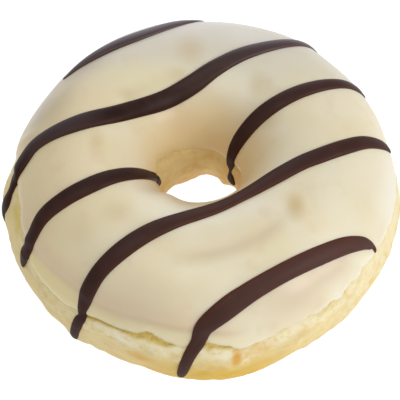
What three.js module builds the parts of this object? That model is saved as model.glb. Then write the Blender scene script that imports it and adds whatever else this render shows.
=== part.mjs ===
// Iced ring doughnut with chocolate drizzle.
// Units are millimetres. +Z is up, and the origin is under the middle of its box, on the surface
// that it rests on.
//
// A place on the ring is given by two angles in degrees. "Around" goes round the hole from +X
// towards +Y. "Over" goes over the ring's section: 0 is the outer side, 90 the crown, 180 the
// side of the hole, and below 0 or past 180 the underside.

import * as THREE from 'three';
import { LoftGeometry } from 'three/addons/geometries/LoftGeometry.js';
import { mergeVertices } from 'three/addons/utils/BufferGeometryUtils.js';

// ---- Driving dimensions ----

const OUTER_RADIUS = 45;
const HOLE_RADIUS = 8.8;
const RING_HEIGHT = 34;
const BELLY_HEIGHT = 0.46; // where the ring is widest, as a share of its height
const CROWN_PLACE = 0.48; // where the ring is highest, as a share of the way from hole to side
const BASE_SQUARENESS = 0.75; // under 1, the lower half is fuller than an ellipse
const BASE_PRESS = 1.03; // over 1, the base would bulge below the surface, so it lies flat

// The dough isn't quite round. Each lobe is [how many times round, size, where it peaks].
const OUTER_LOBES = [[2, 1.0, 66], [3, 0.3, -37], [4, 0.2, 10], [5, 0.4, -20]];
const HOLE_LOBES = [[1, 0.8, 180], [2, 0.4, 18], [3, 0.25, -30]];
const HEIGHT_LOBES = [[1, 1.0, 175]];
const RING_AXIS = [0.48, 0.56]; // where the hole's axis stands, seen from the box's middle

const ICING_THICKNESS = 1.2;
const CLEARANCE = 0.35; // between the faces of neighbouring pieces

// How far down the outside and down the hole the icing runs: [around, over].
const ICING_HEM = [
  [20, 18], [60, 15], [100, 20], [140, 16], [173, 20], [182.5, 33], [189, 38], [198, 38],
  [207, 30], [211.5, 22], [215, 15.5], [219, 13.5], [226.5, 11.5], [230, 11.5], [233, 13.5],
  [236.5, 14.5], [241, 17], [245.5, 17], [251.5, 19], [255, 23.5], [257.5, 21], [261, 17.5],
  [264, 15], [267, 17], [269.5, 25], [271, 20], [276.5, 16], [279, 11.5], [285, 13.5], [291, 16.5],
  [304, 15.5], [311.5, 15.5], [318, 18.5], [323, 20], [340, 20],
];
const ICING_HOLE_HEM = [
  [0, 168], [40, 172], [52, 174.5], [68, 174], [95, 173.5], [118, 172], [142, 167.5], [165, 163],
  [180, 168], [200, 172], [280, 168],
];

// Chocolate stripes, piped in straight passes across the ring: [around, over, width].
const STRIPE_HEIGHT = 0.25; // as a share of the width
const STRIPES = {
  chocolate_stripe_1: [
    [146, 40, 1.0], [144.5, 45, 1.7], [141, 49.5, 2.8], [134, 56, 4.0], [120, 63.8, 4.5],
    [110, 63.6, 4.1], [100, 59.6, 3.0], [94, 53, 1.8], [91, 45, 1.1], [90, 40, 0.8],
  ],
  chocolate_stripe_2: [
    [194, 2, 1.5], [193, 8, 2.6], [192.6, 16, 2.9], [192.6, 23, 3.2], [191.2, 31, 2.4],
    [187.6, 41, 3.7], [184.5, 48, 4.2], [181, 57.4, 3.9], [175, 84, 4.4], [164, 106.7, 4.1],
    [145, 121, 4.1], [121, 127, 4.5], [98, 121, 4.5], [82, 107.5, 4.0], [70, 91, 3.7],
    [61, 74.5, 3.4], [56.5, 60, 3.1], [54, 46, 2.4], [52.5, 34, 1.6], [51.5, 26, 1.0],
  ],
  chocolate_stripe_3: [
    [29.5, 22, 1.0], [29.7, 30, 1.6], [29.5, 41, 2.3], [30.3, 69, 3.2], [32.3, 94.3, 3.8],
    [35.2, 121, 4.0], [38.5, 145, 3.7], [40.8, 158, 3.2], [41.8, 168, 2.6], [42.8, 174.5, 2.4],
    [42.4, 178, 1.9], [40.8, 180.8, 1.3], [39.4, 184.5, 2.1], [39.2, 190, 2.8], [39.6, 196, 2.2],
  ],
  chocolate_stripe_4: [
    [210.4, 5, 0.9], [210.4, 10, 1.8], [210.8, 17, 2.5], [211.1, 23.5, 2.9], [210.8, 36.5, 3.0],
    [209.4, 52, 3.5], [209.6, 71, 3.8], [210.3, 90, 3.9], [209.8, 110, 3.6], [208.3, 123.6, 3.4],
    [204.8, 137.4, 3.0], [197.5, 152, 2.4], [185, 167, 1.9], [175, 180.5, 1.1],
  ],
  chocolate_stripe_5: [
    [230.8, -30, 1.2], [231.5, -20, 1.9], [232.8, -6, 2.2], [234.5, 6, 2.4], [235.4, 12, 2.1],
    [235.1, 17, 2.1], [235.2, 23, 2.8], [235.4, 32, 3.5], [236.6, 50, 3.6], [240.5, 69.6, 4.0],
    [246.9, 87.3, 4.0], [257.5, 103.3, 3.8], [273, 115, 4.2], [294.8, 122, 4.3],
    [310.8, 121.6, 4.7], [328.2, 116, 4.9], [342.8, 103.8, 4.2], [351, 89, 3.9], [357.6, 73, 3.7],
    [362.2, 58, 3.3], [365, 42, 2.7], [366.5, 30, 1.9], [367, 22, 1.0],
  ],
  chocolate_stripe_6: [
    [263.8, -19, 1.4], [264.5, -7, 2.3], [266.2, 8.5, 2.7], [268.5, 22, 3.1], [270.4, 33.7, 4.0],
    [276.7, 44.3, 4.7], [284.5, 51.3, 4.3], [293, 54.7, 4.1], [302, 55, 4.1], [311.4, 52, 4.1],
    [320.5, 45.6, 3.8], [326, 37.5, 3.0], [328.2, 31, 2.0], [329, 27.5, 1.1], [329.2, 24, 1.0],
    [329.6, 21.5, 1.0],
  ],
};

// ---- How finely the surfaces are faceted ----

const RING_SECTIONS = 60; // sections round the ring
const ICED_STEPS = 14; // steps over the crown, from hem to hem
const BARE_STEPS = 14; // steps under the belly and base
const STRIPE_PITCH = 2.2; // distance between two sections of a stripe
const STRIPE_FACES = 7; // faces over a stripe's back

// ---- The ring's shape ----

const radians = THREE.MathUtils.degToRad;
const degrees = THREE.MathUtils.radToDeg;
const lerp = THREE.MathUtils.lerp;

function withLobes(mean, lobes, around) {
  return lobes.reduce(
    (sum, [count, size, peak]) => sum + size * Math.cos(count * radians(around - peak)),
    mean,
  );
}

// The section's middle and its half widths at one place round the ring.
function sectionAt(around) {
  const hole = withLobes(HOLE_RADIUS, HOLE_LOBES, around);
  const outer = withLobes(OUTER_RADIUS, OUTER_LOBES, around);
  const height = withLobes(RING_HEIGHT, HEIGHT_LOBES, around);
  const crown = lerp(hole, outer, CROWN_PLACE);
  const belly = BELLY_HEIGHT * height;
  return { crown, belly, height, toSide: outer - crown, toHole: crown - hole };
}

// A signed power, which keeps the curve's sign and changes how full it is.
const fuller = (value, power) => Math.sign(value) * Math.abs(value) ** power;

// A point on the ring, moved "depth" in towards the middle of the section.
function ringPoint(around, over, depth = 0) {
  const { crown, belly, height, toSide, toHole } = sectionAt(around);
  let across = Math.cos(radians(over));
  let up = Math.sin(radians(over));
  if (up >= 0) {
    up *= height - belly;
  } else {
    across = fuller(across, BASE_SQUARENESS);
    up = Math.max(-belly, BASE_PRESS * belly * fuller(up, BASE_SQUARENESS));
  }
  across *= across > 0 ? toSide : toHole;
  const inset = 1 - depth / Math.hypot(across, up);
  const radius = crown + across * inset;
  const turn = radians(around);
  return new THREE.Vector3(radius * Math.cos(turn), radius * Math.sin(turn), belly + up * inset);
}

// The two angles of the place on the upper ring that is nearest to a point.
function placeOf(point) {
  const around = degrees(Math.atan2(point.y, point.x));
  const { crown, belly, height, toSide, toHole } = sectionAt(around);
  const across = Math.hypot(point.x, point.y) - crown;
  const up = point.z - belly;
  const depth = up > 0 ? height - belly : belly;
  const over = degrees(Math.atan2(up / depth, across / (across > 0 ? toSide : toHole)));
  return [around, over];
}

// A smooth closed curve through [around, over] points, read at any place round the ring.
function hemCurve(points) {
  return (around) => {
    const place = ((around % 360) + 360) % 360;
    const count = points.length;
    const found = points.findIndex(([start]) => start > place);
    const next = found === -1 ? 0 : found;
    const last = (next + count - 1) % count;
    const start = points[last][0];
    const span = (points[next][0] - start + 360) % 360;
    const share = ((place - start + 360) % 360) / span;
    return lerp(points[last][1], points[next][1], THREE.MathUtils.smoothstep(share, 0, 1));
  };
}

const hemAt = hemCurve(ICING_HEM);
const holeHemAt = hemCurve(ICING_HOLE_HEM);

// Evenly spaced values from one end to the other.
function spread(from, to, steps) {
  return Array.from({ length: steps + 1 }, (_, step) => lerp(from, to, step / steps));
}

// ---- Solids ----

// A loft's seams hold each point twice, so equal points are joined to close the body.
function closed(geometry) {
  geometry.deleteAttribute('normal');
  geometry.deleteAttribute('uv');
  const body = mergeVertices(geometry, 1e-4);
  body.computeVertexNormals();
  return body;
}

// A body that goes all the way round: outline(around) lists [over, depth] pairs.
function ringBody(outline) {
  const sections = spread(0, 360, RING_SECTIONS).map((around) => (
    outline(around).map(([over, depth]) => ringPoint(around, over, depth))
  ));
  return closed(new LoftGeometry(sections));
}

// The baked ring. Under the icing its surface is set back by the icing's thickness.
function doughGeometry() {
  const seat = ICING_THICKNESS + CLEARANCE;
  const shelf = 1.5; // degrees of seat beyond the hem
  const slope = 8; // degrees from the hem to the full belly
  return ringBody((around) => {
    const iced = spread(holeHemAt(around) + shelf, hemAt(around) - shelf, ICED_STEPS);
    const bare = spread(hemAt(around) - slope, holeHemAt(around) + slope - 360, BARE_STEPS);
    return [...iced.map((over) => [over, seat]), ...bare.map((over) => [over, 0])];
  });
}

// The icing: an even coat over the crown, from the outer hem to the hem in the hole.
function icingGeometry() {
  return ringBody((around) => {
    const coat = spread(holeHemAt(around), hemAt(around), ICED_STEPS);
    const top = coat.map((over) => [over, 0]);
    const underside = coat.map((over) => [over, ICING_THICKNESS]).reverse();
    return [...top, ...underside];
  });
}

// One chocolate stripe: a low round ridge that follows the ring's surface.
function stripeGeometry(points) {
  const line = new THREE.CatmullRomCurve3(points.map(([around, over]) => ringPoint(around, over)));
  const widths = new THREE.SplineCurve(points.map(([, , width], index) => (
    new THREE.Vector2(index, width)
  )));
  const steps = Math.round(line.getLength() / STRIPE_PITCH);
  const spine = spread(0, 1, steps).map((share) => {
    const [around, over] = placeOf(line.getPoint(share));
    const base = ringPoint(around, over, -CLEARANCE);
    const up = ringPoint(around, over, -1).sub(ringPoint(around, over)).normalize();
    return { base, up, width: widths.getPoint(share).y };
  });
  const sections = spine.map(({ base, up, width }, index) => {
    const before = spine[Math.max(index - 1, 0)].base;
    const after = spine[Math.min(index + 1, steps)].base;
    const side = up.clone().cross(after.clone().sub(before)).normalize();
    return spread(0, 180, STRIPE_FACES).map((turn) => (
      base.clone()
        .addScaledVector(side, (width / 2) * Math.cos(radians(turn)))
        .addScaledVector(up, STRIPE_HEIGHT * width * Math.sin(radians(turn)))
    ));
  });
  return closed(new LoftGeometry(sections, { capStart: true, capEnd: true }));
}

// ---- Materials ----

const dough = new THREE.MeshStandardMaterial({ color: 0xdcc07c, roughness: 0.8, metalness: 0 });
const icing = new THREE.MeshStandardMaterial({ color: 0xe6dcc0, roughness: 0.3, metalness: 0 });
const chocolate = new THREE.MeshStandardMaterial({ color: 0x3c2a2a, roughness: 0.35, metalness: 0 });

// ---- The doughnut ----

function piece(name, geometry, material) {
  const mesh = new THREE.Mesh(geometry, material);
  mesh.name = name;
  return mesh;
}

const doughnut = new THREE.Group();
doughnut.position.set(...RING_AXIS, 0);
doughnut.add(piece('dough_ring', doughGeometry(), dough));
doughnut.add(piece('icing_coat', icingGeometry(), icing));
for (const [name, points] of Object.entries(STRIPES)) {
  doughnut.add(piece(name, stripeGeometry(points), chocolate));
}

export default doughnut;
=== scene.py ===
# %% [markdown]
# # An iced ring doughnut with piped chocolate
#
# The doughnut is baked dough, a coat of pale icing and six lines of chocolate. The packed model
# gives each piece's place and size. Here each one gets its fine surface and its finish, built
# from the inside out: dough, icing, chocolate.

import bpy
import numpy as np
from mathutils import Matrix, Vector


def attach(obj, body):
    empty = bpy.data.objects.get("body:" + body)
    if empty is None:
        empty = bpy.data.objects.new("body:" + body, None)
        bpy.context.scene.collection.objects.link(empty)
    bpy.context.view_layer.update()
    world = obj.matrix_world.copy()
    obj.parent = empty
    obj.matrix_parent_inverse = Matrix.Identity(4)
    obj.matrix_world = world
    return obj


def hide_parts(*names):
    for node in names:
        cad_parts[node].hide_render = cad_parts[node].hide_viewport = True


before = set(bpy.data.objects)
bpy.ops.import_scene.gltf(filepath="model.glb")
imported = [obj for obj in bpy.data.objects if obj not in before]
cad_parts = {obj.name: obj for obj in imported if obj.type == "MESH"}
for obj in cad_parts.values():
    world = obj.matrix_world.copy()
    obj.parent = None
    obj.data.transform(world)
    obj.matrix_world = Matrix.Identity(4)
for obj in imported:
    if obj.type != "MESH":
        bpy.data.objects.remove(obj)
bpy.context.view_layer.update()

MM = 0.001

# %% [markdown]
# ## The ring's own coordinates
#
# A ring is awkward to describe in x, y and z, and easy in two angles. "Around" goes round the
# hole from +X towards +Y. "Over" goes over the dough: 0 is the outer side, 90 the crown, 180 the
# side of the hole, and below 0 or past 180 the underside. Every piece here is placed by those two
# angles and a lift above the surface, so the pieces fit each other without measuring.
#
# The dough isn't quite round, so its radii and its height have lobes: each one says how many
# times it repeats round the ring, how large it is and where it peaks.

# %% The ring's shape
OUTER_RADIUS = 45 * MM
HOLE_RADIUS = 8.8 * MM
RING_HEIGHT = 34 * MM
BELLY_HEIGHT = 0.46      # where the ring is widest, as a share of its height
CROWN_PLACE = 0.48       # where it is highest, as a share of the way from hole to side
BASE_SQUARENESS = 0.75   # under 1, the lower half is fuller than an ellipse
BASE_PRESS = 1.03        # over 1, the base would bulge below the surface, so it lies flat

OUTER_LOBES = [(2, 1.0, 66), (3, 0.3, -37), (4, 0.2, 10), (5, 0.4, -20)]
HOLE_LOBES = [(1, 0.8, 180), (2, 0.4, 18), (3, 0.25, -30)]
HEIGHT_LOBES = [(1, 1.0, 175)]
RING_AXIS = np.array([0.48, 0.56, 0]) * MM   # the hole's axis, seen from the box's middle


def with_lobes(mean, lobes, around):
    return mean + sum(size * MM * np.cos(count * np.radians(around - peak))
                      for count, size, peak in lobes)


def section_at(around):
    """The section's crown radius, belly height and top, and its reach to the side and to the hole."""
    hole = with_lobes(HOLE_RADIUS, HOLE_LOBES, around)
    outer = with_lobes(OUTER_RADIUS, OUTER_LOBES, around)
    height = with_lobes(RING_HEIGHT, HEIGHT_LOBES, around)
    crown = hole + CROWN_PLACE * (outer - hole)
    return crown, BELLY_HEIGHT * height, height, outer - crown, crown - hole


print("section at the front, mm:", np.round(np.array(section_at(270.0)) / MM, 1))

# %% [markdown]
# Two functions go between the angles and real places. One puts points on the ring, and the other
# finds which two angles a point lies over, so that a line of chocolate can be laid through space
# first and dropped on to the icing afterwards.

# %% From angles to places and back
def fuller(value, power):
    """A signed power, which keeps the curve's sign and changes how full it is."""
    return np.sign(value) * np.abs(value) ** power


def ring_point(around, over, lift=0.0):
    """Points on the ring at two angles in degrees, lifted off it by some metres."""
    crown, belly, height, to_side, to_hole = section_at(around)
    across, up = np.cos(np.radians(over)), np.sin(np.radians(over))
    above = up >= 0
    rise = np.where(above, (height - belly) * up,
                    np.maximum(-belly, BASE_PRESS * belly * fuller(up, BASE_SQUARENESS)))
    reach = np.where(above, across, fuller(across, BASE_SQUARENESS))
    reach = reach * np.where(reach > 0, to_side, to_hole)
    grow = 1 + lift / np.hypot(reach, rise)
    radius, turn = crown + reach * grow, np.radians(around)
    place = np.stack([radius * np.cos(turn), radius * np.sin(turn), belly + rise * grow], -1)
    return place + RING_AXIS


def place_of(points):
    """The two angles of the places on the ring under some points."""
    x, y, z = np.moveaxis(points - RING_AXIS, -1, 0)
    around = np.degrees(np.arctan2(y, x))
    crown, belly, height, to_side, to_hole = section_at(around)
    reach = np.hypot(x, y) - crown
    reach = reach / np.where(reach > 0, to_side, to_hole)
    rise = z - belly
    above = rise >= 0
    rise = np.where(above, rise / (height - belly), rise / (BASE_PRESS * belly))
    across = np.where(above, reach, fuller(reach, 1 / BASE_SQUARENESS))
    up = np.where(above, rise, fuller(rise, 1 / BASE_SQUARENESS))
    return around, np.degrees(np.arctan2(up, across))


front_crown = ring_point(-90.0, 90.0)
print("crown at the front, mm:", np.round(front_crown / MM, 1), "angles:", np.round(place_of(front_crown), 1))

# %% [markdown]
# Dough never rises evenly. A bulge is a place where it rose or sank by up to a millimetre or so,
# with a bell-shaped slope: it has a middle, a reach round the ring, a reach over it and a height.
# Dough and icing both follow the bulges, because icing lies on whatever is under it.

# %% Bulges
# Around, over, reach around, reach over, and height in mm.
BULGES = np.array([
    (10, 0, 6, 25, -0.6), (45, 40, 8, 25, -0.4), (91, 36, 8, 20, -0.3), (111, 54, 8, 14, -0.3),
    (150, 46, 6, 14, -0.3), (176, 42, 3, 12, 0.8), (178, 17, 4, 12, -1.35), (184, 6, 3, 12, 0.4),
    (211, 21, 3, 5, 0.3), (191, 16, 5, 14, 0.4), (197, -5, 8, 20, -0.4), (221, -12, 7, 26, 0.5),
    (232, -15, 5, 24, 0.7), (241, -22, 7, 26, -0.5), (274, -25, 13, 28, 0.5), (293, -8, 4, 22, 0.5),
    (309, -20, 3, 25, -0.3), (317, -20, 8, 28, 0.5), (328, 0, 4, 20, -0.2), (335, 5, 6, 20, 0.1),
    (352, -8, 13, 28, 0.8), (150, 200, 14, 30, 0.5), (120, 206, 24, 24, 1.2), (84, 208, 8, 24, -0.5),
    (59, 208, 9, 24, 0.9), (172, 200, 9, 24, 0.3), (238, 129, 10, 18, 0.8)])


def smoothstep(low, high, value):
    """0 below low, 1 above high, and an S curve between; low may be the larger."""
    share = np.clip((value - low) / (high - low), 0, 1)
    return share * share * (3 - 2 * share)


def hill(value, middle, reach):
    """A bell shape: 1 in the middle, falling away over the reach on either side."""
    return np.exp(-((value - middle) / reach) ** 2)


def bulge(around, over):
    """How far the dough stands proud of the even ring, in metres."""
    middle_around, middle_over, reach_around, reach_over, height = BULGES.T
    turn = np.mod(around[..., None] - middle_around + 180, 360) - 180
    share = hill(turn, 0, reach_around) * hill(over[..., None], middle_over, reach_over)
    return (share * height).sum(-1) * MM


print("bulges:", len(BULGES), "from", BULGES[:, 4].min(), "to", BULGES[:, 4].max(), "mm")

# %% [markdown]
# ## Camera
#
# The doughnut is looked down on from the front at a steep angle with a long lens, so the far side
# of the ring is only a little smaller than the near side and the hole shows a slip of the surface
# beneath.

# %% Camera
CAMERA_TILT = 54          # degrees above the horizon
CAMERA_DISTANCE = 300 * MM
CAMERA_TARGET = Vector((-0.26, 8.26, 0)) * MM
LENS_MM = 111

tilt = np.radians(CAMERA_TILT)
camera = bpy.data.objects.new("camera", bpy.data.cameras.new("camera"))
camera.data.lens = LENS_MM
camera.data.clip_start = 10 * MM
camera.location = CAMERA_TARGET + CAMERA_DISTANCE * Vector((0, -np.cos(tilt), np.sin(tilt)))
camera.rotation_euler = (np.pi / 2 - tilt, 0, 0)
bpy.context.scene.collection.objects.link(camera)
bpy.context.scene.camera = camera
print("camera at, mm:", [round(value / MM) for value in camera.location])

# %% [markdown]
# ## Light and floor
#
# Food is often shown on a bright sweep under large soft lamps. The key lamp stands to the right and
# a little to the front, so the icing turns gently darker to the left, and the finishes add painted
# shade on that side. A wide cool lamp behind gives the far rim and the chocolate their pale sheen,
# which the finishes also paint in as a cooler colour at the back, and a third hangs overhead to keep
# the crown even. A lamp's size matters more than its power here: a large one close by has soft edges
# to its highlights, which is what makes icing look like satin rather than enamel.

# %% Lamps
LAMP_AIM = Vector((0, 0, 15)) * MM   # the middle of the doughnut

scene = bpy.context.scene
scene.view_settings.view_transform = "Standard"


def soft_lamp(name, place, size, watts, colour):
    """A square area lamp at a place in millimetres, pointing at the doughnut."""
    lamp = bpy.data.lights.new(name, "AREA")
    lamp.size, lamp.energy, lamp.color = size * MM, watts, colour
    holder = bpy.data.objects.new(name, lamp)
    holder.location = Vector(place) * MM
    holder.rotation_euler = (LAMP_AIM - holder.location).to_track_quat("-Z", "Y").to_euler()
    scene.collection.objects.link(holder)


soft_lamp("key_lamp", (430, -200, 300), 300, 1.35, (1.0, 0.98, 0.95))
soft_lamp("back_lamp", (-60, 520, 210), 420, 0.72, (0.88, 0.88, 1.0))
soft_lamp("top_lamp", (-60, -60, 520), 320, 0.75, (1.0, 0.99, 0.95))

world = bpy.data.worlds.new("studio")
world.use_nodes = True
sky = world.node_tree.nodes["Background"]
sky.inputs["Color"].default_value = (0.95, 0.97, 1.0, 1)
sky.inputs["Strength"].default_value = 0.38
scene.world = world

# %% [markdown]
# The floor is a pale board that glows evenly, as a light table does. It fills the underside of
# the doughnut with light, and it hardly shows a shadow. A white board without the glow would need
# much stronger lamps to look as bright, and they would bleach the icing.

# %% Floor
bpy.ops.object.select_all(action="DESELECT")
bpy.ops.mesh.primitive_plane_add(size=4, location=(0, 0, 0))
floor = bpy.context.object
floor.name = "floor"
board = bpy.data.materials.new("pale_board")
board.use_nodes = True
board_shader = board.node_tree.nodes["Principled BSDF"]
board_shader.inputs["Base Color"].default_value = (0.1, 0.1, 0.1, 1)
board_shader.inputs["Roughness"].default_value = 0.9
board_shader.inputs["Emission Color"].default_value = (1, 1, 1, 1)
board_shader.inputs["Emission Strength"].default_value = 1.03
floor.data.materials.append(board)
print("floor, m:", [round(length, 1) for length in floor.dimensions])

# %% [markdown]
# ## Shader sums
#
# Node trees are easier to read as sums. `Value` wraps an output socket, and arithmetic on it adds
# Math nodes, so a mask can be written as `1 - mask * 0.5` rather than as a chain of boxes.

# %% Values
class Value:
    """A number, vector or colour that varies over a surface."""

    def __init__(self, recipe, socket):
        self.recipe, self.socket = recipe, socket

    def math(self, operation, first, second):
        return self.recipe.node("Math", {"operation": operation}, **{"0": first, "1": second})

    def __add__(self, other):
        return self.math("ADD", self, other)

    def __radd__(self, other):
        return self.math("ADD", other, self)

    def __sub__(self, other):
        return self.math("SUBTRACT", self, other)

    def __rsub__(self, other):
        return self.math("SUBTRACT", other, self)

    def __mul__(self, other):
        return self.math("MULTIPLY", self, other)

    def __rmul__(self, other):
        return self.math("MULTIPLY", other, self)

    def between(self, low, high):
        """0 below low, 1 above high, and an S curve between; low may be the larger."""
        return self.recipe.node("MapRange", {"interpolation_type": "SMOOTHSTEP"},
                                Value=self, **{"From Min": low, "From Max": high})


print("a Value has:", [name for name in vars(Value) if name not in ("__module__", "__doc__")])

# %% [markdown]
# `Recipe` is one material. Its `node` method adds any node, from its type, its settings and its
# sockets' values. The others are what this doughnut's finishes share: blending two colours, soft
# clouds, distances along an axis or out from the hole, values that a mesh carries with it, and
# listed patches. Everything is measured in Object coordinates, so a pattern stays where
# it is on the piece.

# %% Recipes
class Recipe:
    """One material, built node by node."""

    def __init__(self, name):
        self.material = bpy.data.materials.new(name)
        self.material.use_nodes = True
        self.tree = self.material.node_tree
        self.shader = self.tree.nodes["Principled BSDF"]
        self.places = self.node("TexCoord", {}, output="Object")

    def join(self, value, socket):
        if isinstance(value, Value):
            self.tree.links.new(value.socket, socket)
        elif isinstance(value, tuple) and len(value) == 3 and socket.type == "RGBA":
            socket.default_value = (*value, 1)
        else:
            socket.default_value = value

    def node(self, kind, settings, output=0, **inputs):
        made = self.tree.nodes.new("ShaderNode" + kind)
        for name, setting in settings.items():
            setattr(made, name, setting)
        for name, value in inputs.items():
            self.join(value, made.inputs[int(name) if name.isdigit() else name])
        return Value(self, made.outputs[output])

    def vector(self, operation, first, second, output="Vector"):
        return self.node("VectorMath", {"operation": operation}, output, **{"0": first, "1": second})

    def mix(self, share, first, second):
        """A colour that goes from first to second as share goes from 0 to 1."""
        return self.node("Mix", {"data_type": "RGBA"}, 2, **{"0": share, "6": first, "7": second})

    def noise(self, size, detail=2.0, roughness=0.5, shift=0.0):
        """Soft clouds from 0 to 1, whose lumps are about size metres across."""
        place = self.vector("ADD", self.places, (shift, shift, shift)) if shift else self.places
        return self.node("TexNoise", {}, Vector=place, Scale=1 / size, Detail=detail, Roughness=roughness)

    def along(self, axis):
        """The distance along X, Y or Z, in metres."""
        return self.node("SeparateXYZ", {}, axis, Vector=self.places)

    def from_axis(self):
        """The distance out from the hole's axis, in metres."""
        flat = self.vector("MULTIPLY", self.places, (1, 1, 0))
        return self.vector("DISTANCE", flat, tuple(RING_AXIS), "Value")

    def carried(self, name):
        """A value that the mesh carries."""
        return self.node("Attribute", {"attribute_name": name}, "Fac")

    def near(self, place, reach):
        """1 at a place, falling to 0 at (x, y, z) reaches from it, all in millimetres."""
        moved = self.vector("SUBTRACT", self.places, tuple(Vector(place) * MM))
        scaled = self.vector("DIVIDE", moved, tuple(Vector(reach) * MM))
        return self.node("VectorMath", {"operation": "LENGTH"}, "Value", **{"0": scaled}).between(1, 0)

    def patched(self, colour, patches):
        """The colour with soft patches laid on it, each given as place, reach, share and tint."""
        for place, reach, share, tint in patches:
            colour = self.mix(self.near(place, reach) * share, colour, tint)
        return colour

    def bump(self, height, strength, distance):
        return self.node("Bump", {}, Height=height, Strength=strength, Distance=distance)

    def finish(self, constants, **varying):
        for name, value in constants.items():
            self.join(value, self.shader.inputs[name])
        for name, value in varying.items():
            self.join(value, self.shader.inputs[name.replace("_", " ")])
        print(self.material.name, "nodes:", len(self.tree.nodes))
        return self.material


print("a Recipe has:", [name for name in vars(Recipe) if not name.startswith("_")])

# %% [markdown]
# ## Shaping a primitive
#
# A torus primitive already has the right faces for a ring, and its own two angles are the ring's
# two angles. So dough and icing both start as a torus, and its vertices are then moved to where
# those angles say. Sculpting would look as soft, but it couldn't be measured or repeated. Edit
# mode's operators merge doubled vertices and turn the faces outwards at the end.

# %% Shaping a torus
def torus(name, rings, sides):
    """A torus primitive, with its vertices' two angles in degrees."""
    wide, thin = 30 * MM, 10 * MM   # any size does, because every vertex moves
    bpy.ops.object.select_all(action="DESELECT")
    bpy.ops.mesh.primitive_torus_add(major_segments=rings, minor_segments=sides,
                                     major_radius=wide, minor_radius=thin)
    piece = bpy.context.object
    piece.name = name
    x, y, z = read_points(piece).T
    return piece, np.degrees(np.arctan2(y, x)), np.degrees(np.arctan2(z, np.hypot(x, y) - wide))


def read_points(piece):
    points = np.empty(len(piece.data.vertices) * 3)
    piece.data.vertices.foreach_get("co", points)
    return points.reshape(-1, 3)


def write_points(piece, points):
    piece.data.vertices.foreach_set("co", np.ascontiguousarray(points, dtype=float).ravel())
    piece.data.update()


def carry(piece, **measures):
    """Gives each vertex some named values, which a material can read."""
    for name, values in measures.items():
        piece.data.attributes.new(name, "FLOAT", "POINT").data.foreach_set("value", values)


def select_only(piece):
    bpy.ops.object.select_all(action="DESELECT")
    bpy.context.view_layer.objects.active = piece
    piece.select_set(True)


def smooth_normals_out(piece):
    """Merges doubled vertices, turns every face outwards and shades it smooth."""
    select_only(piece)
    bpy.ops.object.mode_set(mode="EDIT")
    bpy.ops.mesh.select_all(action="SELECT")
    bpy.ops.mesh.remove_doubles(threshold=0.001 * MM)
    bpy.ops.mesh.normals_make_consistent(inside=False)
    bpy.ops.object.mode_set(mode="OBJECT")
    bpy.ops.object.shade_smooth()
    print(piece.name, "faces:", len(piece.data.polygons))


# %% [markdown]
# ## Where the icing ends
#
# Warm icing runs down unevenly and sets as drips. Its hem is a wavy line on the outer side and
# another in the hole, each given by a few [around, over] points with an eased curve between them.
# A fine fray goes on top, strongest at the right, where the icing ran over rough dough.
#
# Two more lines work in the same way. The crease is where a second wave of icing stopped short,
# at the lower left and front. The gaps are where the icing holds off the dough below its hem, and
# their depth is how many degrees of dough they leave in the dark.

# %% The icing's hems
ICING_HEM = [
    (20, 18), (60, 15), (100, 20), (140, 16), (173, 20), (182.5, 33), (189, 38), (198, 38), (207, 30),
    (211.5, 22), (215, 15.5), (219, 13.5), (226.5, 11.5), (230, 11.5), (233, 13.5), (236.5, 14.5),
    (241, 17), (245.5, 17), (251.5, 19), (255, 23.5), (257.5, 21), (261, 17.5), (264, 15), (267, 17),
    (269.5, 25), (271, 20), (276.5, 16), (279, 11.5), (285, 13.5), (291, 16.5), (304, 15.5),
    (311.5, 15.5), (318, 18.5), (323, 20), (340, 20)]
ICING_HOLE_HEM = [
    (0, 168), (40, 172), (52, 174.5), (68, 174), (95, 173.5), (118, 172), (142, 167.5), (165, 163),
    (180, 168), (200, 172), (280, 168)]
ICING_CREASE = [
    (185, 27), (205, 28), (214, 30.5), (231, 31), (239, 29), (246, 30), (253, 32), (266, 31), (280, 27)]
GAP_DEPTHS = [
    (233, 0), (236, 2.2), (243, 2.4), (245.5, 1), (248, 3), (251.5, 5), (255, 8), (258, 7.5), (260, 5),
    (261.5, 2), (263, 0), (267, 0), (268.5, 9), (271, 8), (273, 4), (277, 2.4), (280, 0)]


def eased(points, around):
    """The value at each place round the ring of a closed curve, eased from point to point."""
    starts = np.array([start for start, _ in points], float)
    values = np.array([value for _, value in points], float)
    place = np.mod(around, 360)
    after = np.searchsorted(starts, place, side="right")
    last, after = (after - 1) % len(starts), after % len(starts)
    span = np.mod(starts[after] - starts[last], 360)
    share = np.mod(place - starts[last], 360) / span
    return values[last] + (values[after] - values[last]) * smoothstep(0, 1, share)


def hems_at(around):
    """The outer hem and the hole's hem, both frayed a little."""
    place = np.mod(around, 360)
    rough = 0.4 + 1.6 * smoothstep(285, 300, place) * smoothstep(348, 335, place)
    fray = (np.sin(np.radians(47 * place + 20)) + 0.7 * np.sin(np.radians(83 * place))
            + 0.5 * np.sin(np.radians(131 * place)))
    return eased(ICING_HEM, around) + rough * 0.6 * fray, eased(ICING_HOLE_HEM, around) + 0.3 * fray


def gap_below_hem(around, over):
    """1 in the gaps just below the hem, where the icing holds off the dough, and 0 elsewhere."""
    below, depth = eased(ICING_HEM, around) - over, eased(GAP_DEPTHS, around)
    inside = smoothstep(-1, 0.5, below) * smoothstep(depth, 0.6 * depth - 0.01, below)
    return inside * smoothstep(0, 1, depth)


print("hem at the front, degrees:", round(float(hems_at(np.array(270.0))[0]), 1))

# %% [markdown]
# ## Dough
#
# The baked ring is bare on its belly, its base and the lower wall of the hole. It is a torus
# whose vertices go to the ring's surface, set back where the icing covers it. A shallow groove
# runs below both hems, deeper in the gaps at the front. At the left front the dough draws back a
# little, so that the icing's hem stands clear of it.
#
# A torus has its faces evenly spaced, but most of them would be hidden under the icing. Shifting
# the "over" angle before the points are placed crowds them together where the dough is bare.

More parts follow.
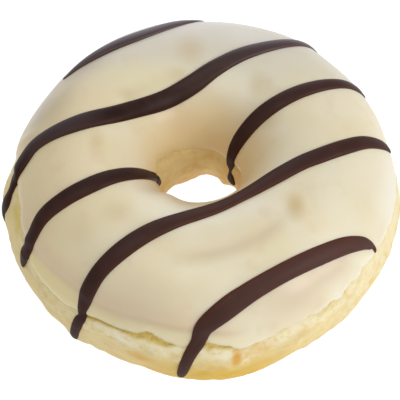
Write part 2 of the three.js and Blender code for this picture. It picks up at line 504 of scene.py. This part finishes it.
# %% Dough mesh
ICING_THICKNESS = 1.2 * MM
DOUGH_SEAT = ICING_THICKNESS + 0.25 * MM   # how far the dough is set back under the icing
BARE_SET_BACK = 0.25 * MM                  # leaves room for the lumps
HOLE_GROOVE = 0.25 * MM
GAP_GROOVE = 0.5 * MM
LEFT_DRAW_BACK = 0.2 * MM

dough, around, over = torus("dough", 430, 228)
over = np.where(over < -90, over + 360, over)      # from -90 at the base to 270 at the base again
over = np.interp(over, [-90, -60, 100, 150, 225, 270], [-90, -45, 45, 160, 215, 270])
hem, hole_hem = hems_at(around)
covered = smoothstep(hem - 3, hem + 9, over) * smoothstep(hole_hem + 2, hole_hem - 6, over)
gap = gap_below_hem(around, over)
groove = HOLE_GROOVE * hill(over, hole_hem + 3, 3) + GAP_GROOVE * gap
place = np.mod(around, 360)
drawn_back = smoothstep(208, 214, place) * smoothstep(236, 231, place) * hill(over, hem - 3, 5)
lift = (bulge(around, over) - DOUGH_SEAT * covered - LEFT_DRAW_BACK * drawn_back
        - (BARE_SET_BACK + groove) * (1 - covered))
write_points(dough, ring_point(around, over, lift))
carry(dough, below_hem=hem - over, in_gap=gap)
smooth_normals_out(dough)

# %% [markdown]
# Fried dough is lumpy at the scale of a fingertip and wrinkled at the scale of a millimetre, so
# two Displace modifiers with cloud textures push its skin in and out. A vertex group keeps them
# off the dough under the icing and gentle along the hem. The base is pressed flat last, as it is
# on a real one that has stood on a tray.

# %% Lumps and wrinkles
bare = dough.vertex_groups.new(name="bare")
for index, share in enumerate((1 - covered) * (1 - 0.6 * hill(over, hem, 6))):
    bare.add([index], float(share), "REPLACE")


def displace(piece, name, size, height, group, depth):
    """Pushes the skin in and out by up to height metres, in lumps about size metres across."""
    clouds = bpy.data.textures.new(name, "CLOUDS")
    clouds.noise_scale, clouds.noise_depth = size, depth
    select_only(piece)
    push = piece.modifiers.new(name, "DISPLACE")
    push.texture, push.texture_coords, push.vertex_group = clouds, "LOCAL", group
    push.strength, push.mid_level = height, 0.5
    bpy.ops.object.modifier_apply(modifier=push.name)


displace(dough, "lumps", 8 * MM, 1.3 * MM, "bare", depth=2)
displace(dough, "wrinkles", 2.2 * MM, 0.45 * MM, "bare", depth=1)

points = read_points(dough)
points[:, 2] = np.maximum(points[:, 2], 0)
write_points(dough, points)
print("dough box, mm:", np.round(points.min(0) / MM, 1), np.round(points.max(0) / MM, 1))

# %% [markdown]
# ## Dough finish
#
# The dough floats while it fries, so it is palest round the middle and golden towards the base,
# deepest at the front. Height alone would draw a level line between the two, so clouds are added
# to the height before it picks the colour. Sugar from the icing leaves pale flecks below the hem.
# The left is painted duller, as shade on the side away from the key lamp, and the right is paler
# with golden mottling close under the icing.

# %% Crust
PALE_CRUST, GOLDEN_CRUST = (0.80, 0.66, 0.34), (0.72, 0.49, 0.13)
FRONT_GOLD = (0.73, 0.46, 0.06)
MOTTLE_GOLD, FLECK_GOLD = (0.72, 0.49, 0.15), (0.70, 0.47, 0.15)
SHADED_LEFT_CRUST, SUGAR = (0.66, 0.52, 0.24), (0.86, 0.78, 0.55)

baked = Recipe("baked_dough")
blotches = baked.noise(6 * MM, detail=3)
mottle = baked.noise(2.2 * MM, detail=3, roughness=0.6, shift=0.3)
flecks = baked.noise(1.1 * MM, detail=2, roughness=0.6, shift=0.9)
height = baked.along("Z")
rightward = baked.along("X").between(20 * MM, 42 * MM)
leftward = baked.along("X").between(-18 * MM, -32 * MM)
in_front = baked.near((4, -44, 9), (30, 22, 30))

uneven = height + (blotches - 0.5) * (10 * MM) + (mottle - 0.5) * (5 * MM)
crust = baked.mix(uneven.between(11 * MM, 5 * MM), PALE_CRUST, GOLDEN_CRUST)
crust = baked.mix(in_front * uneven.between(18 * MM, 12 * MM), crust, FRONT_GOLD)
crust = baked.mix(mottle.between(0.52, 0.72) * 0.5, crust, MOTTLE_GOLD)
# painted shade: the left side, away from the key lamp, is made duller
crust = baked.mix(leftward * 0.5, crust, SHADED_LEFT_CRUST)
sugared = (baked.carried("below_hem") + (mottle - 0.5) * 46).between(17, 2)
sugared = sugared * (mottle * 0.5 + flecks * 0.5).between(0.60, 0.42)
crust = baked.mix(sugared * (0.8 - 0.5 * leftward), crust, SUGAR)
crust = baked.mix(flecks.between(0.58, 0.70) * 0.3, crust, FLECK_GOLD)
print("crust so far, nodes:", len(baked.tree.nodes))

# %% [markdown]
# The wall of the hole cooks darker, and browner the lower it goes. Then come the marks that make
# this doughnut itself, listed one by one: sugar in the folds at the front left, a brown spot, and
# scuffs of yellow and gold. In the gaps under the hem the dough is a deeper, shaded gold. A fine
# bump gives the skin its pores, and a little subsurface softens it, as in any bread.

# %% Wall, marks and pores
UPPER_WALL, MOTTLED_WALL, LOW_WALL = (0.73, 0.57, 0.25), (0.70, 0.49, 0.18), (0.60, 0.31, 0.09)
PALE_RIGHT, RIGHT_GOLD = (0.84, 0.73, 0.47), (0.74, 0.56, 0.19)
GAP_SHADE, GAP_GOLD = (0.57, 0.39, 0.08), (0.68, 0.50, 0.14)
SUGAR_WHITE = (0.88, 0.80, 0.59)
DOUGH_MARKS = [
    ((-39.8, -15, 25.3), (2.2, 8, 4), 0.9, (0.64, 0.49, 0.11)),
    ((-13, -43, 14.5), (5, 5, 3), 0.9, (0.74, 0.45, 0.12)),
    ((-19.4, -39.8, 19.8), (1.3, 3, 2.4), 0.7, SUGAR_WHITE),
    ((-17, -40.7, 20.5), (1.6, 3, 3), 0.9, SUGAR_WHITE),
    ((-16, -41.6, 18.6), (3.5, 4, 1.9), 0.9, SUGAR_WHITE),
    ((4.5, -44.9, 18.2), (6, 3, 1.6), 0.9, SUGAR_WHITE),
    ((12.5, -43.5, 17.5), (7, 4, 5), 0.7, (0.76, 0.52, 0.19)),
    ((28, -35.5, 20), (6, 6, 2.4), 0.8, (0.66, 0.54, 0.22)),
    ((20, -39, 20), (4, 5, 2.5), 0.6, SUGAR_WHITE),
    ((20.7, -39, 17), (6, 5, 3), 0.7, (0.68, 0.50, 0.19)),
    ((-5, 5, 16), (6, 6, 8), 0.6, (0.80, 0.66, 0.36)),
    ((7, 3, 13), (6, 6, 8), 0.8, (0.62, 0.38, 0.13)),
    ((7.4, -45, 16.6), (1.6, 4, 4.6), 1.3, (0.72, 0.38, 0.07))]

wall = baked.mix(mottle.between(0.35, 0.65), UPPER_WALL, MOTTLED_WALL)
low = (height + (mottle - 0.5) * (8 * MM)).between(9 * MM, 4 * MM)
wall = baked.mix(low * 0.8, wall, LOW_WALL)
crust = baked.mix(baked.from_axis().between(17 * MM, 12 * MM) * 0.95, crust, wall)
crust = baked.mix(rightward * 0.6, crust, PALE_RIGHT)
near_icing = uneven.between(17.5 * MM, 15.5 * MM) * mottle.between(0.42, 0.58)
crust = baked.mix(rightward * near_icing * 0.9, crust, RIGHT_GOLD)
crust = baked.patched(crust, DOUGH_MARKS)
in_gap = baked.mix(flecks.between(0.42, 0.6), GAP_SHADE, GAP_GOLD)
crust = baked.mix(baked.carried("in_gap"), crust, in_gap)

pores = baked.noise(0.7 * MM, detail=2, roughness=0.6, shift=0.7)
baked.finish(
    {"Subsurface Weight": 0.12, "Subsurface Radius": (1, 0.75, 0.45), "Subsurface Scale": 1.2 * MM,
     "Specular IOR Level": 0.35},
    Base_Color=crust, Roughness=0.62 + mottle * 0.2,
    Normal=baked.bump(pores * 0.6 + mottle, 0.25, 0.25 * MM))
dough.data.materials.append(baked.material)

# %% [markdown]
# ## Icing
#
# Poured icing keeps a trace of how it ran. Its top has long faint waves, and one slow swell set
# across the front of the crown and left a shallow trough. Its hem has a rounder lip with the
# surface falling away beyond it, and below the crease the coat is thinner. All of that is one
# height above the even ring, because the chocolate has to follow it later.

# %% The icing's surface
# Each wave is a heading in degrees, a length and a height in mm, and a start in radians.
FLOW_WAVES = [(25, 31, 0.16, 0.0), (110, 23, 0.10, 1.3), (62, 17, 0.06, 2.1), (150, 41, 0.18, 4.0)]
SWELL_MIDDLE, SWELL_RADIUS, SWELL_REACH = (-4.6, 0.6), 30.6, 1.7   # mm
SWELL_DEPTH, SKIRT_DEPTH = 0.35, 0.4                               # mm
CREASE_START, CREASE_END = (186, 200), (282, 268)   # degrees round the ring over which it fades
CREASE_TINT_END = (286, 270)                        # its tint runs on a little further


def creased_at(around, end=CREASE_END):
    """1 where the icing has a crease, fading out at either end of it."""
    place = np.mod(around, 360)
    return smoothstep(*CREASE_START, place) * smoothstep(*end, place)


def swell_at(x, y):
    """1 in the trough of the swell, which is an arc round the front of the crown."""
    ring = hill(np.hypot(x - SWELL_MIDDLE[0], y - SWELL_MIDDLE[1]), SWELL_RADIUS, SWELL_REACH)
    return ring * smoothstep(-9, 1, x) * smoothstep(21, 13, x) * (y < 0)


def flow_at(x, y):
    """The height in mm of the long waves from when the icing flowed."""
    total = 0
    for heading, length, height, start in FLOW_WAVES:
        along = x * np.cos(np.radians(heading)) + y * np.sin(np.radians(heading))
        total = total + height * np.sin(2 * np.pi * along / length + start)
    return total


def icing_lift(around, over):
    """How far the icing's top stands off the ring's even surface."""
    hem, hole_hem = hems_at(around)
    crease, creased = eased(ICING_CREASE, around), creased_at(around)
    x, y, _ = np.moveaxis(ring_point(around, over), -1, 0) / MM
    waves = (flow_at(x, y) - SWELL_DEPTH * swell_at(x, y)) * smoothstep(8, 40, over - hem)
    skirt = creased * smoothstep(crease + 3.5, crease - 3.5, over)
    lip = (0.12 * hill(over, hem + 5, 4) - (0.45 - 0.3 * creased) * hill(over, hem - 1, 3)
           - 0.35 * hill(over, hole_hem + 1, 4))
    return (waves - SKIRT_DEPTH * skirt + lip) * MM + bulge(around, over)


crown_lifts = icing_lift(np.linspace(0, 360, 73), np.full(73, 90.0)) / MM
print("icing along the crown, mm:", round(crown_lifts.min(), 2), "to", round(crown_lifts.max(), 2))

# %% [markdown]
# The coat is a torus squeezed into a thin blanket. Going once round the torus's own section goes
# along the top from hem to hem and back underneath, with a half circle at each hem. A sheet with
# a Solidify modifier would have square-cut hems, and icing never has those.
#
# The finish will need to know where the crease, the skirt, the swell and the hole's hem are, so
# the mesh carries a value for each.

# %% Icing mesh
ROUND_HEM = 0.022   # the share of the coat's half width that its round hems take

icing, around, spin = torus("icing", 400, 220)
along, upward = np.cos(np.radians(spin)), np.sin(np.radians(spin))
hem, hole_hem = hems_at(around)
over = (hem + hole_hem) / 2 - along * (hole_hem - hem) / 2
end = np.clip((np.abs(along) - (1 - ROUND_HEM)) / ROUND_HEM, 0, 1)
level = np.sign(upward) * np.sqrt(1 - end ** 2)      # 1 on top, -1 underneath, round at the hems
under = bulge(around, over) - ICING_THICKNESS
lift = icing_lift(around, over) * (1 + level) / 2 + under * (1 - level) / 2
write_points(icing, ring_point(around, over, lift))

creased = creased_at(around, CREASE_TINT_END)
below_crease = eased(ICING_CREASE, around) - over
x, y, _ = read_points(icing).T / MM
# crease and swell carry where the finish paints shade, along the crease's step and in the swell's trough
carry(icing, crease=creased * hill(below_crease, 0.5, 3),
      above_crease=creased * smoothstep(-16, -4, below_crease) * smoothstep(4, -2, below_crease),
      skirt=creased * smoothstep(-2.5, 4.5, below_crease),
      swell=swell_at(x, y), hole_edge=smoothstep(hole_hem - 9, hole_hem, over))
smooth_normals_out(icing)

# %% [markdown]
# ## Icing finish
#
# The icing is sugar and milk, so light goes a little way into it: subsurface does that. It is
# ivory, and browner wherever it lies thin and the dough shows through: down in the hole and most
# of all at the hole's hem. Along the crease's step and in the swell's trough the brown is painted
# shade. Above the crease it is tan, below it yellower. Towards the left it is painted darker and
# yellower, as shade on the side away from the key lamp, and towards the back it turns to a cooler
# cream, a painted reflection of the cool back lamp. Its gloss is satin and slightly uneven.

# %% Cream
IVORY, PALE_IVORY, LEFT_SHADE_IVORY = (0.80, 0.70, 0.48), (0.84, 0.755, 0.57), (0.79, 0.65, 0.39)
DRIFT_TAN, TAN, YELLOW_SKIRT = (0.70, 0.55, 0.36), (0.72, 0.53, 0.35), (0.775, 0.63, 0.28)
CREASE_SHADE_BROWN, SWELL_SHADE_BROWN = (0.58, 0.42, 0.23), (0.66, 0.52, 0.35)
BACK_REFLECTION_CREAM, HOLE_BROWN, HOLE_EDGE_BROWN = (0.625, 0.60, 0.545), (0.76, 0.55, 0.27), (0.73, 0.52, 0.19)

coat = Recipe("cream_icing")
clouds = coat.noise(16 * MM, detail=2)
drifts = coat.noise(6 * MM, detail=2, shift=0.4)
leftward = coat.along("X").between(-4 * MM, -42 * MM)

cream = coat.mix(clouds.between(0.35, 0.65), IVORY, PALE_IVORY)
# painted shade: the left, away from the key lamp, is made darker and yellower
cream = coat.mix(leftward, cream, LEFT_SHADE_IVORY)
cream = coat.mix(drifts.between(0.55, 0.75) * 0.3, cream, DRIFT_TAN)
cream = coat.mix(coat.carried("above_crease") * 0.5, cream, TAN)
cream = coat.mix(coat.carried("skirt") * (0.35 + 0.45 * leftward), cream, YELLOW_SKIRT)
# painted shade along the crease's step and in the swell's trough
cream = coat.mix(coat.carried("crease") * 0.6, cream, CREASE_SHADE_BROWN)
cream = coat.mix(coat.carried("swell") * 0.6, cream, SWELL_SHADE_BROWN)
# painted reflection: towards the back the cream turns cooler, as if it mirrored the cool back lamp
cream = coat.mix(coat.along("Y").between(9 * MM, 32 * MM) * 0.65, cream, BACK_REFLECTION_CREAM)
cream = coat.mix(coat.from_axis().between(19 * MM, 9 * MM) * 0.7, cream, HOLE_BROWN)
cream = coat.mix(coat.carried("hole_edge") * 0.7, cream, HOLE_EDGE_BROWN)
print("cream so far, nodes:", len(coat.tree.nodes))

# %% [markdown]
# Noise alone makes every part of a coat look alike. Real icing has small spots where it lies
# thin, and broad soft drifts of tan and of yellow, so those are laid on as listed patches. Some of
# the patches are painted light instead: painted shade along the second chocolate line and over the
# back left, away from the key lamp, and painted highlights in a cool cream on the right side and
# its lower rim, which face it.

# %% Thin spots, painted light and shade, drifts and gloss
THIN_AND_SHADE_BROWN, DRIFT_BROWN, RIM_HIGHLIGHT_CREAM = (0.56, 0.39, 0.15), (0.65, 0.51, 0.35), (0.87, 0.83, 0.74)
# Four of these spots, from (-16, 12.8) to (-5.5, 19), are painted shade along the second chocolate line; the
# others are spots where the icing lies thin.
THIN_AND_SHADED_SPOTS = [
    ((19.7, -17.4, 33.2), (3.2, 5.5, 4), 0.6), ((-22.6, -1.2, 34.6), (2.8, 5.5, 4), 0.35),
    ((-17.7, -19.6, 34.6), (4.5, 4, 4), 0.2), ((-24.9, -23.4, 32.9), (5, 5, 4), 0.15),
    ((-2.4, 26.4, 34.1), (5, 7, 4), 0.35), ((-16, 12.8, 34), (4.5, 3.2, 4), 0.4),
    ((-12.5, 14.9, 34), (4.5, 3.2, 4), 0.35), ((-9, 16.9, 34), (4.5, 3.2, 4), 0.35),
    ((-5.5, 19, 33.5), (4.5, 3.2, 4), 0.5), ((13, 17.5, 32.6), (4, 5, 5), 0.3),
    ((15.5, 8, 30.5), (4, 4, 5), 0.3)]
TAN_DRIFTS = [
    ((-5, -11, 28), (17, 8, 10), 1.0), ((28, -28, 27.5), (11, 6, 6), 0.8),
    ((23.5, -31, 28), (7, 5, 5), 0.5), ((18, -35, 27), (17, 9, 8), 0.7),
    ((-15, -38, 27), (22, 8, 8), 0.4), ((-36, -16, 28), (10, 12, 10), 0.3),
    ((29, 9, 32.7), (10, 10, 6), 0.1)]
DRIFTS_AND_PAINTED_LIGHT = [
    # The next two are painted highlights on the lower right rim, which faces the key lamp, and the third is
    # painted light over the right side.
    ((31, -32.5, 19.5), (7, 6, 4.5), 0.7, RIM_HIGHLIGHT_CREAM),
    ((37, -27, 20.5), (8, 8, 5.5), 0.9, RIM_HIGHLIGHT_CREAM),
    ((46, -8, 22), (14, 26, 22), 0.9, (0.86, 0.81, 0.71)),
    # The next three are painted shade on the back left, the side away from the key lamp.
    ((-36, 15, 27), (13, 21, 17), 0.95, (0.46, 0.38, 0.255)),
    ((-26, 22, 32), (11, 9, 5), 0.6, (0.48, 0.40, 0.28)),
    ((-37, 10, 29.5), (5, 10, 6), 0.5, (0.48, 0.39, 0.24)),
    ((-6, 11, 28), (8, 6, 6), 0.6, (0.66, 0.50, 0.29)),
    ((-13, 18, 34), (18, 7, 7), 0.5, (0.80, 0.73, 0.44)),
    ((-20, 4, 34), (14, 6, 8), 0.4, (0.84, 0.76, 0.60))]

cream = coat.patched(cream, [(*spot, THIN_AND_SHADE_BROWN) for spot in THIN_AND_SHADED_SPOTS])
cream = coat.patched(cream, [(*drift, DRIFT_BROWN) for drift in TAN_DRIFTS])
cream = coat.patched(cream, DRIFTS_AND_PAINTED_LIGHT)
coat.finish(
    {"Subsurface Weight": 0.35, "Subsurface Radius": (1, 0.7, 0.45), "Subsurface Scale": 2 * MM,
     "Specular IOR Level": 0.5, "Coat Roughness": 0.12},
    Base_Color=cream, Roughness=0.34 + drifts * 0.14, Coat_Weight=clouds.between(0.3, 0.7) * 0.3,
    Normal=coat.bump(drifts, 0.15, 0.4 * MM))
icing.data.materials.append(coat.material)

# %% [markdown]
# ## Chocolate lines
#
# The chocolate was piped in straight passes across the ring, so each line is a path through a few
# points, given as [around, over, width]. The widths swell on the crown, where the
# chocolate spread, and narrow down the sides. Some ends thicken again into a drip, and the one in
# the hole pinches to a thread above its last drop.

# %% Chocolate paths
STRIPES = {
    "chocolate_stripe_1": [
        (146, 40, 1.0), (144.5, 45, 1.7), (141, 49.5, 2.8), (134, 56, 4.0), (120, 63.8, 4.5),
        (110, 63.6, 4.1), (100, 59.6, 3.0), (94, 53, 1.8), (91, 45, 1.1), (90, 40, 0.8)],
    "chocolate_stripe_2": [
        (194, 2, 1.5), (193, 8, 2.6), (192.6, 16, 2.9), (192.6, 23, 3.2), (191.2, 31, 2.4),
        (187.6, 41, 3.7), (184.5, 48, 4.2), (181, 57.4, 3.9), (175, 84, 4.4), (164, 106.7, 4.1),
        (145, 121, 4.1), (121, 127, 4.5), (98, 121, 4.5), (82, 107.5, 4.0), (70, 91, 3.7),
        (61, 74.5, 3.4), (56.5, 60, 3.1), (54, 46, 2.4), (52.5, 34, 1.6), (51.5, 26, 1.0)],
    "chocolate_stripe_3": [
        (29.5, 22, 1.0), (29.7, 30, 1.6), (29.5, 41, 2.3), (30.3, 69, 3.2), (32.3, 94.3, 3.8),
        (35.2, 121, 4.0), (38.5, 145, 3.7), (40.8, 158, 3.2), (41.8, 168, 2.6), (42.8, 174.5, 2.4),
        (42.4, 178, 1.9), (40.8, 180.8, 1.3), (39.4, 184.5, 2.1), (39.2, 190, 2.8), (39.6, 196, 2.2)],
    "chocolate_stripe_4": [
        (210.4, 5, 0.9), (210.4, 10, 1.8), (210.8, 17, 2.5), (211.1, 23.5, 2.9), (210.8, 36.5, 3.0),
        (209.4, 52, 3.5), (209.6, 71, 3.8), (210.3, 90, 3.9), (209.8, 110, 3.6), (208.3, 123.6, 3.4),
        (204.8, 137.4, 3.0), (197.5, 152, 2.4), (185, 167, 1.9), (175, 180.5, 1.1)],
    "chocolate_stripe_5": [
        (230.8, -30, 1.2), (231.5, -20, 1.9), (232.8, -6, 2.2), (234.5, 6, 2.4), (235.4, 12, 2.1),
        (235.1, 17, 2.1), (235.2, 23, 2.8), (235.4, 32, 3.5), (236.6, 50, 3.6), (240.5, 69.6, 4.0),
        (246.9, 87.3, 4.0), (257.5, 103.3, 3.8), (273, 115, 4.2), (294.8, 122, 4.3),
        (310.8, 121.6, 4.7), (328.2, 116, 4.9), (342.8, 103.8, 4.2), (351, 89, 3.9), (357.6, 73, 3.7),
        (362.2, 58, 3.3), (365, 42, 2.7), (366.5, 30, 1.9), (367, 22, 1.0)],
    "chocolate_stripe_6": [
        (263.8, -19, 1.4), (264.5, -7, 2.3), (266.2, 8.5, 2.7), (268.5, 22, 3.1), (270.4, 33.7, 4.0),
        (276.7, 44.3, 4.7), (284.5, 51.3, 4.3), (293, 54.7, 4.1), (302, 55, 4.1), (311.4, 52, 4.1),
        (320.5, 45.6, 3.8), (326, 37.5, 3.0), (328.2, 31, 2.0), (329, 27.5, 1.1), (329.2, 24, 1.0),
        (329.6, 21.5, 1.0)],
}


def smooth_line(knots, count):
    """A smooth line through the knots, as evenly spaced rows in the knots' own columns."""
    ends = 2 * knots[[0, -1]] - knots[[1, -2]]
    knots = np.vstack([ends[:1], knots, ends[1:]])
    step = np.linspace(0, len(knots) - 3, count)
    first = np.minimum(step.astype(int), len(knots) - 4)
    share = (step - first)[:, None]
    a, b, c, d = (knots[first + offset] for offset in range(4))
    return b + share / 2 * (c - a + share * (2 * a - 5 * b + 4 * c - d + share * (3 * (b - c) + d - a)))


print("widest line, mm:", max(width for points in STRIPES.values() for *_, width in points))

# %% [markdown]
# A line of piped chocolate is a low round ridge. A bevelled curve would make a round tube and
# bury half of it, and it wouldn't bend to the icing's waves. Here it starts as a grid primitive:
# each row of the grid becomes one cross-section, rolled into a half round with a flat underside.
# Every vertex is dropped on to the icing, so the line hugs it. The rows shrink to a point at both
# ends, which closes and rounds them.

# %% Where a line lies
RIDGE_FACES = 32         # faces round a line's cross-section
RIDGE_HEIGHT = 0.25      # as a share of the width
RIDGE_SINK = 0.12 * MM   # how deep the underside is set into the icing
HUMP_FULLNESS = 0.8      # under 1, the ridge's back is fuller than a half circle
ROW_PITCH = 0.45 * MM
NOSE_LENGTH = 0.55       # the rounded end, as a share of the width


def on_icing(points, lift):
    """Drops points on to the icing, or on to bare dough below its hem, and lifts them again."""
    around, over = place_of(points)
    hem, hole_hem = hems_at(around)
    iced = smoothstep(hem - 4, hem + 3, over) * smoothstep(hole_hem + 2, hole_hem - 1, over)
    bare_dough = bulge(around, over) - BARE_SET_BACK
    return ring_point(around, over, icing_lift(around, over) * iced + bare_dough * (1 - iced) + lift)


def unit(vectors):
    return vectors / np.linalg.norm(vectors, axis=1, keepdims=True)


def ridge_rows(knots):
    """A line's cross-sections, one row of points each."""
    around, over, width = np.array(knots, float).T
    fine = smooth_line(np.column_stack([ring_point(around, over), width * MM]), 2000)
    run = np.concatenate([[0], np.cumsum(np.linalg.norm(np.diff(fine[:, :3], axis=0), axis=1))])
    length, rows = run[-1], int(run[-1] / ROW_PITCH)
    reach = length * (1 - np.cos(np.linspace(0, np.pi, rows))) / 2   # closer together at the ends
    middle = np.column_stack([np.interp(reach, run, fine[:, column]) for column in range(4)])
    centre, width = on_icing(middle[:, :3], 0), middle[:, 3]
    upward = unit(on_icing(centre, 1 * MM) - centre)
    sideways = unit(np.cross(upward, np.gradient(centre, axis=0)))

    to_end = np.clip(np.minimum(reach, length - reach) / (NOSE_LENGTH * width), 0, 1)
    nose = np.sqrt(1 - (1 - to_end) ** 2)[:, None]   # 0 at the tip, 1 where the line is full
    full = width[:, None] * nose
    turn = np.linspace(0, 2 * np.pi, RIDGE_FACES + 1)
    spread = full / 2 * np.cos(turn)
    hump = np.maximum(np.sin(turn), 0) ** HUMP_FULLNESS
    lift = RIDGE_HEIGHT * full * hump - RIDGE_SINK * nose * (np.sin(turn) < 0.05)
    return on_icing(centre[:, None] + sideways[:, None] * spread[..., None], lift)


ridges = {name: ridge_rows(knots) for name, knots in STRIPES.items()}
print("rows in each line:", [len(ridge) for ridge in ridges.values()])

# %% [markdown]
# The grid's rows and columns are then matched to the cross-sections. Each line's mesh also
# carries a value that is 1 along its edges, where the chocolate is thin. On the front right line
# it is more than double on the far side, a painted glow of the light that comes through it.

# %% Chocolate meshes
# painted light: the far edge of the front right line is made redder, as if light came through it
PAINTED_FAR_EDGE_GLOW = {"chocolate_stripe_6": 2.2}   # the others glow alike at both edges
EDGE_SHARPNESS = 6


def chocolate_line(name, ridge):
    rows = len(ridge)
    bpy.ops.object.select_all(action="DESELECT")
    bpy.ops.mesh.primitive_grid_add(x_subdivisions=RIDGE_FACES, y_subdivisions=rows - 1, size=1)
    piece = bpy.context.object
    piece.name = name.replace("stripe", "line")
    grid_places = (read_points(piece)[:, :2] + 0.5) * (RIDGE_FACES, rows - 1)
    column, row = np.round(grid_places).astype(int).T
    write_points(piece, ridge[row, column])
    across = np.cos(np.linspace(0, 2 * np.pi, RIDGE_FACES + 1))
    glow = (across > 0) * PAINTED_FAR_EDGE_GLOW[name] if name in PAINTED_FAR_EDGE_GLOW else 1
    carry(piece, thin_edge=(np.abs(across) ** EDGE_SHARPNESS * glow)[column])
    smooth_normals_out(piece)
    return piece


lines = {name: chocolate_line(name, ridge) for name, ridge in ridges.items()}

# %% [markdown]
# ## Chocolate finish
#
# Dark chocolate is nearly black with a satin skin, and red-brown at its thin edges, where light
# comes through. It isn't one flat tone over the whole doughnut. It is painted browner towards the
# lamp and the front, as painted light where it is lit more, and a greyer brown at the back and the
# back left, a painted reflection of the cool lamp at a low angle, so the place picks the tone as
# well as soft clouds. Setting leaves the skin faintly uneven, which a bump shows in the highlights.

# %% Chocolate finish
DARK, LESS_DARK, EDGE_RED = (0.021, 0.0078, 0.0060), (0.033, 0.0138, 0.0108), (0.12, 0.024, 0.006)
PAINTED_LAMP_LIGHT_BROWN, BACK_REFLECTION_GREY, BACK_LEFT_REFLECTION_GREY = (0.098, 0.042, 0.032), (0.115, 0.092, 0.108), (0.150, 0.115, 0.125)

chocolate = Recipe("dark_chocolate")
bloom = chocolate.noise(5 * MM, detail=2)
ripple = chocolate.noise(1.6 * MM, detail=2, shift=0.5)
x, y, z = (chocolate.along(axis) for axis in "XYZ")
# painted light: the lines are made browner towards the key lamp and the front, where they are lit more
painted_lamp_light = (x.between(-34 * MM, 34 * MM) * (y.between(0, -26 * MM) * 0.3 + 0.35)
             + y.between(2 * MM, -22 * MM) * 0.18)
back_left_reflection = y.between(-8 * MM, 14 * MM) * x.between(-18 * MM, -38 * MM)

tone = chocolate.mix(bloom.between(0.35, 0.7), DARK, LESS_DARK)
tone = chocolate.mix(painted_lamp_light, tone, PAINTED_LAMP_LIGHT_BROWN)
# painted reflection: greyer at the back and the back left, where the cool back lamp would be mirrored
tone = chocolate.mix(y.between(18 * MM, 44 * MM) * 0.8, tone, BACK_REFLECTION_GREY)
tone = chocolate.mix(back_left_reflection * 0.8, tone, BACK_LEFT_REFLECTION_GREY)
tone = chocolate.mix(chocolate.carried("thin_edge") * 0.3, tone, EDGE_RED)
sheen = z.between(16 * MM, 28 * MM) * (0.12 + y.between(8 * MM, 38 * MM) * 0.7) + 0.01
chocolate.finish(
    {"Specular IOR Level": 0.05, "Subsurface Weight": 0.08, "Subsurface Radius": (1, 0.3, 0.15),
     "Subsurface Scale": 0.8 * MM, "Coat Roughness": 0.42},
    Base_Color=tone, Roughness=0.45 + bloom * 0.14, Coat_Weight=sheen,
    Normal=chocolate.bump(ripple, 0.12, 0.3 * MM))
for line in lines.values():
    line.data.materials.append(chocolate.material)

# %% [markdown]
# ## Putting it together
#
# Nothing on a doughnut moves, so every piece rides on the one body. Each piece stands for the solid
# of the packed model that it was shaped on, which is hidden.

# %% Ride and replace
for piece, node, slot in [(dough, "dough_ring", "dough"), (icing, "icing_coat", "icing"),
                          *((line, name, "chocolate") for name, line in lines.items())]:
    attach(piece, "root")
    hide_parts(node)
